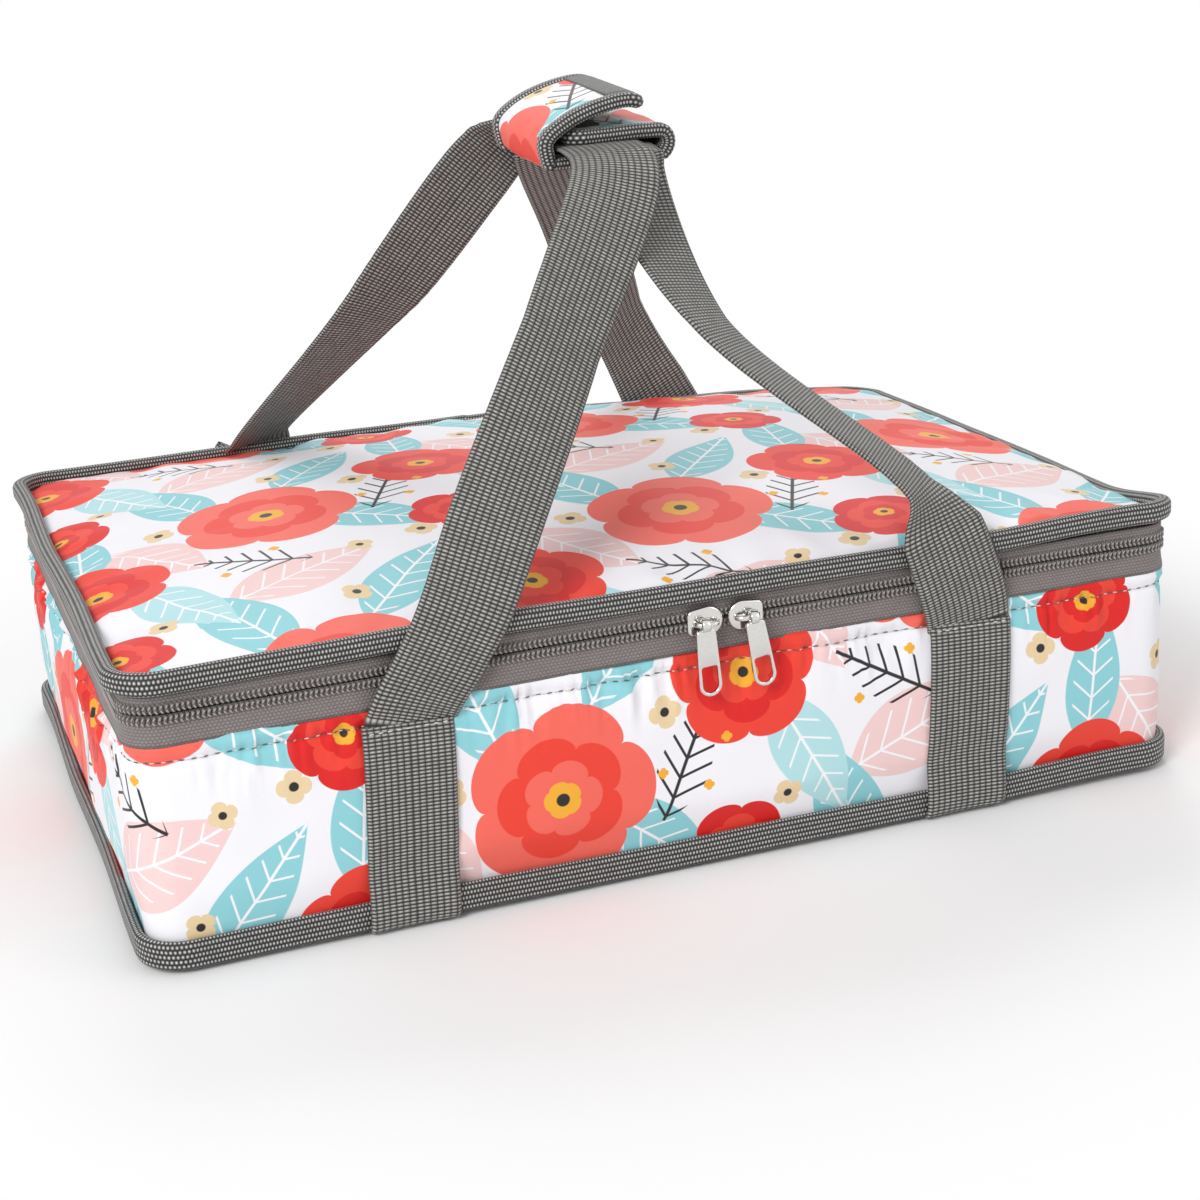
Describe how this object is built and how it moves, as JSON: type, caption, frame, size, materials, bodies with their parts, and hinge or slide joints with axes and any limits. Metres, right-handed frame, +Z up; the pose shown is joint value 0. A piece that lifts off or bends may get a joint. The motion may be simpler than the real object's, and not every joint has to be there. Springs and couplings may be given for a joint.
{
  "type": "casserole carrier",
  "caption": "Soft insulated box with a zipped, padded lid, webbing handles sewn round its base, and a padded wrap that holds the handles together for carrying.",
  "frame": {"origin": "on the floor, under the middle of the base", "axes": "+X along the long side, +Y to the hinged back of the lid, +Z up"},
  "size_m": [0.42, 0.308, 0.2763],
  "materials": {
    "print": "satin printed polyester",
    "webbing": "woven polypropylene",
    "zipper_tape": "woven polyester tape",
    "zipper_coil": "moulded nylon coil",
    "foam": "closed cell foam and wadding",
    "board": "plain sheet",
    "foil_liner": "metallised film on fabric",
    "closure": "hook and loop tape",
    "nickel": "bright nickel plate"
  },
  "bodies": {
    "carrier": {"body_outer_band": "print", "base_outer_panel": "webbing", "base_board": "board", "base_foam": "foam", "front_wall_foam": "foam", "back_wall_foam": "foam", "left_wall_foam": "foam", "right_wall_foam": "foam", "liner_tray": "foil_liner", "base_binding": "webbing", "zipper_tape_lower": "zipper_tape", "zipper_coil_lower": "zipper_coil", "lid_hinge_strip": "print", "left_sewn_strap": "webbing", "right_sewn_strap": "webbing"},
    "lid": {"lid_liner": "foil_liner", "lid_foam": "foam", "lid_wadding": "foam", "lid_outer_panel": "print", "lid_binding": "webbing", "zipper_tape_upper": "zipper_tape", "zipper_coil_upper": "zipper_coil"},
    "left_handle": {"left_handle_webbing": "webbing"},
    "right_handle": {"right_handle_webbing": "webbing", "grip_base_panel": "print", "grip_base_binding_front": "webbing", "grip_base_binding_back": "webbing"},
    "outer_flap": {"grip_outer_flap": "print", "outer_flap_binding": "webbing", "hook_strip": "closure"},
    "inner_flap": {"grip_inner_flap": "print", "inner_flap_binding": "webbing", "loop_strip": "closure"},
    "left_slider": {"left_slider_body": "nickel", "left_slider_bridge": "nickel"},
    "right_slider": {"right_slider_body": "nickel", "right_slider_bridge": "nickel"},
    "left_pull": {"left_pull_tab": "nickel"},
    "right_pull": {"right_pull_tab": "nickel"}
  },
  "joints": [
    {"name": "lid_hinge", "type": "hinge", "parent": "carrier", "child": "lid", "pos_m": [0, 0.1413, 0.10685], "axis": [-1, 0, 0], "range_deg": [0, 60]},
    {"name": "left_handle_swing", "type": "hinge", "parent": "carrier", "child": "left_handle", "pos_m": [-0.107, 0, 0.0805], "axis": [0, -1, 0], "range_deg": [0, 104], "deforming": ["left_handle_webbing"]},
    {"name": "right_handle_swing", "type": "hinge", "parent": "carrier", "child": "right_handle", "pos_m": [0.116, 0, 0.0805], "axis": [0, 1, 0], "range_deg": [0, 104], "deforming": ["right_handle_webbing"]},
    {"name": "outer_flap_hinge", "type": "hinge", "parent": "right_handle", "child": "outer_flap", "pos_m": [-0.00385, 0, 0.248], "axis": [0, -1, 0], "range_deg": [0, 120]},
    {"name": "inner_flap_hinge", "type": "hinge", "parent": "right_handle", "child": "inner_flap", "pos_m": [0.03885, 0, 0.248], "axis": [0, 1, 0], "range_deg": [0, 70]},
    {"name": "left_slider_slide", "type": "slide", "parent": "carrier", "child": "left_slider", "axis": [-1, 0, 0], "range_m": [0, 0.189]},
    {"name": "right_slider_slide", "type": "slide", "parent": "carrier", "child": "right_slider", "axis": [1, 0, 0], "range_m": [0, 0.06]},
    {"name": "left_pull_swing", "type": "hinge", "parent": "left_slider", "child": "left_pull", "pos_m": [0.0056, -0.1477, 0.099], "axis": [-1, 0, 0], "range_deg": [0, 150]},
    {"name": "right_pull_swing", "type": "hinge", "parent": "right_slider", "child": "right_pull", "pos_m": [0.0248, -0.1477, 0.099], "axis": [-1, 0, 0], "range_deg": [0, 150]}
  ],
  "couplings": [
    {"joint": "left_handle_swing", "follows": "lid_hinge", "ratio": 1.7333},
    {"joint": "right_handle_swing", "follows": "lid_hinge", "ratio": 1.7333},
    {"joint": "inner_flap_hinge", "follows": "outer_flap_hinge", "ratio": 0.58333}
  ]
}
